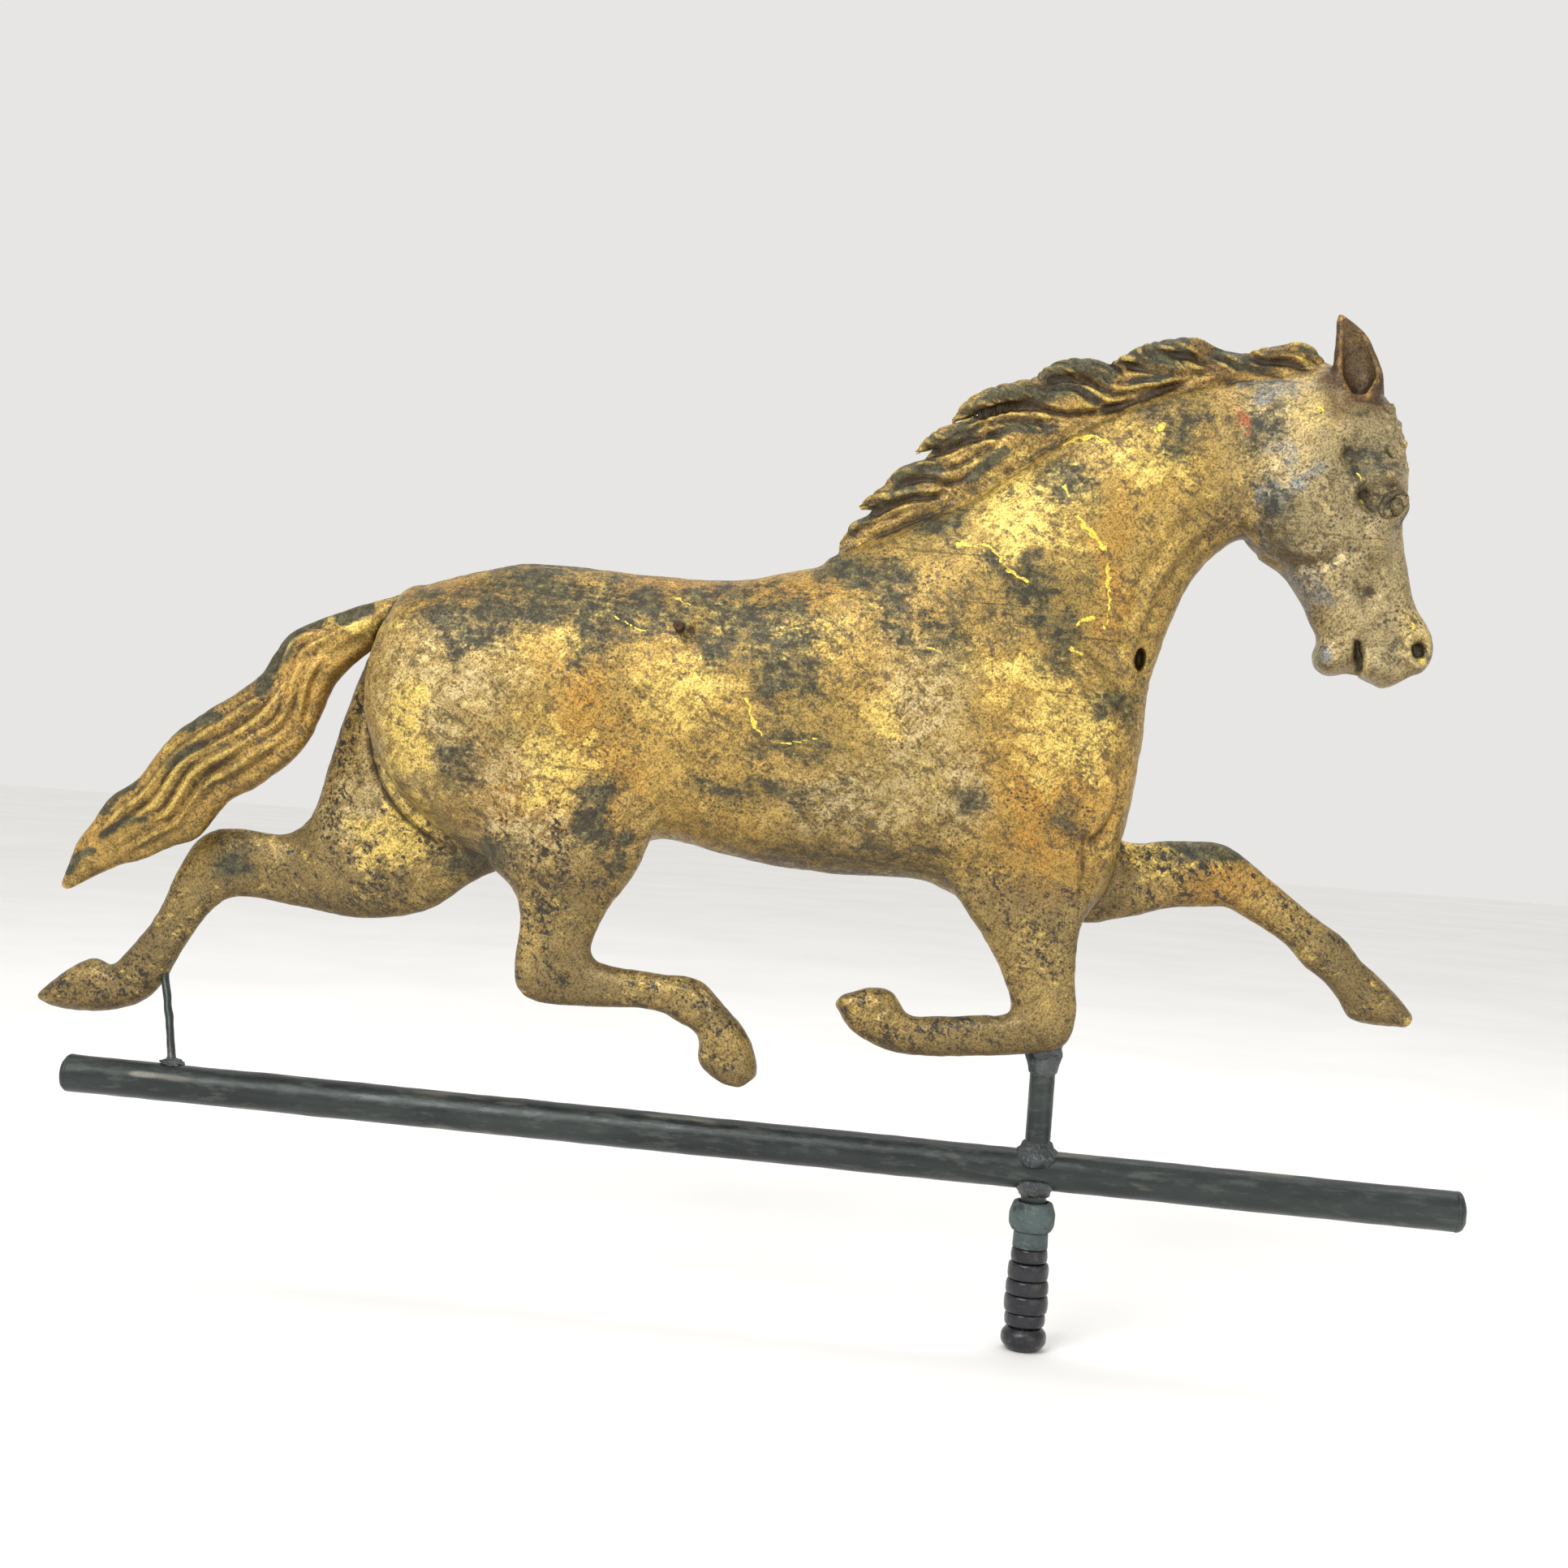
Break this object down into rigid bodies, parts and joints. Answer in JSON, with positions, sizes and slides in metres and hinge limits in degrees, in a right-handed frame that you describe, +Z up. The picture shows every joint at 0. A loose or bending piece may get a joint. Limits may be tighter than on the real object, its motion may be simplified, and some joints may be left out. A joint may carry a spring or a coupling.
{
  "type": "weather vane",
  "caption": "Running-horse weather vane: hollow gilt copper horse on a cross tube and post, turning on a pointed rod in a ribbed rubber sleeve.",
  "frame": {"origin": "on the turning axis, at the flat bottom of the ribbed sleeve", "axes": "+Z up along the turning axis, +X towards the horse's head, +Y towards the horse's left side"},
  "size_m": [0.8436, 0.094, 0.585],
  "materials": {
    "gilt_copper": "worn gold leaf over copper, speckled",
    "tail_copper": "worn gold leaf with dark grooves",
    "head_zinc": "worn gold leaf over grey cast metal",
    "eye_zinc": "dull cast metal",
    "mane_copper": "worn gold leaf and green-grey weathering",
    "ear_metal": "dark brown weathered metal",
    "leg_copper": "worn gold leaf over copper",
    "hoof_copper": "dull green-grey weathered copper",
    "bar_tube": "dark weathered copper tube, soft sheen",
    "post_tube": "dark weathered tube",
    "solder": "rough grey solder",
    "bearing_metal": "turned",
    "spindle_steel": "dull turned steel",
    "black_rubber": "satin",
    "grey_rubber": "weathered matt",
    "screw": "rusted"
  },
  "bodies": {
    "mount": {"collar_skirt": "grey_rubber", "rubber_collar": "grey_rubber", "sleeve_ring_1": "black_rubber", "sleeve_ring_2": "black_rubber", "sleeve_ring_3": "black_rubber", "sleeve_ring_4": "black_rubber", "sleeve_ring_5": "black_rubber", "sleeve_ring_6": "black_rubber", "spindle_rod": "spindle_steel"},
    "vane": {"body_shell_left": "gilt_copper", "body_shell_right": "gilt_copper", "crossbar": "bar_tube", "ear_left": "ear_metal", "ear_right": "ear_metal", "end_cap_front": "bar_tube", "end_cap_rear": "bar_tube", "eye_left": "eye_zinc", "eye_right": "eye_zinc", "flank_screw": "screw", "foreleg_left_hoof": "hoof_copper", "foreleg_left_inner": "leg_copper", "foreleg_left_outer": "leg_copper", "foreleg_right_hoof": "hoof_copper", "foreleg_right_inner": "leg_copper", "foreleg_right_outer": "leg_copper", "head_casting_left": "head_zinc", "head_casting_right": "head_zinc", "hind_leg_left_hoof": "hoof_copper", "hind_leg_left_inner": "leg_copper", "hind_leg_left_outer": "leg_copper", "hind_leg_right_hoof": "hoof_copper", "hind_leg_right_inner": "leg_copper", "hind_leg_right_outer": "leg_copper", "lower_bush": "bearing_metal", "mane_left": "mane_copper", "mane_right": "mane_copper", "post_tube": "post_tube", "rear_stay": "post_tube", "solder_above_bar": "solder", "solder_below_bar": "solder", "solder_knee": "solder", "solder_stay": "solder", "tail_left": "tail_copper", "tail_right": "tail_copper", "thrust_cup": "bearing_metal"}
  },
  "joints": [
    {"name": "vane_spin", "type": "hinge", "parent": "mount", "child": "vane", "pos_m": [0, 0, 0.1], "axis": [0, 0, 1], "continuous": true}
  ]
}
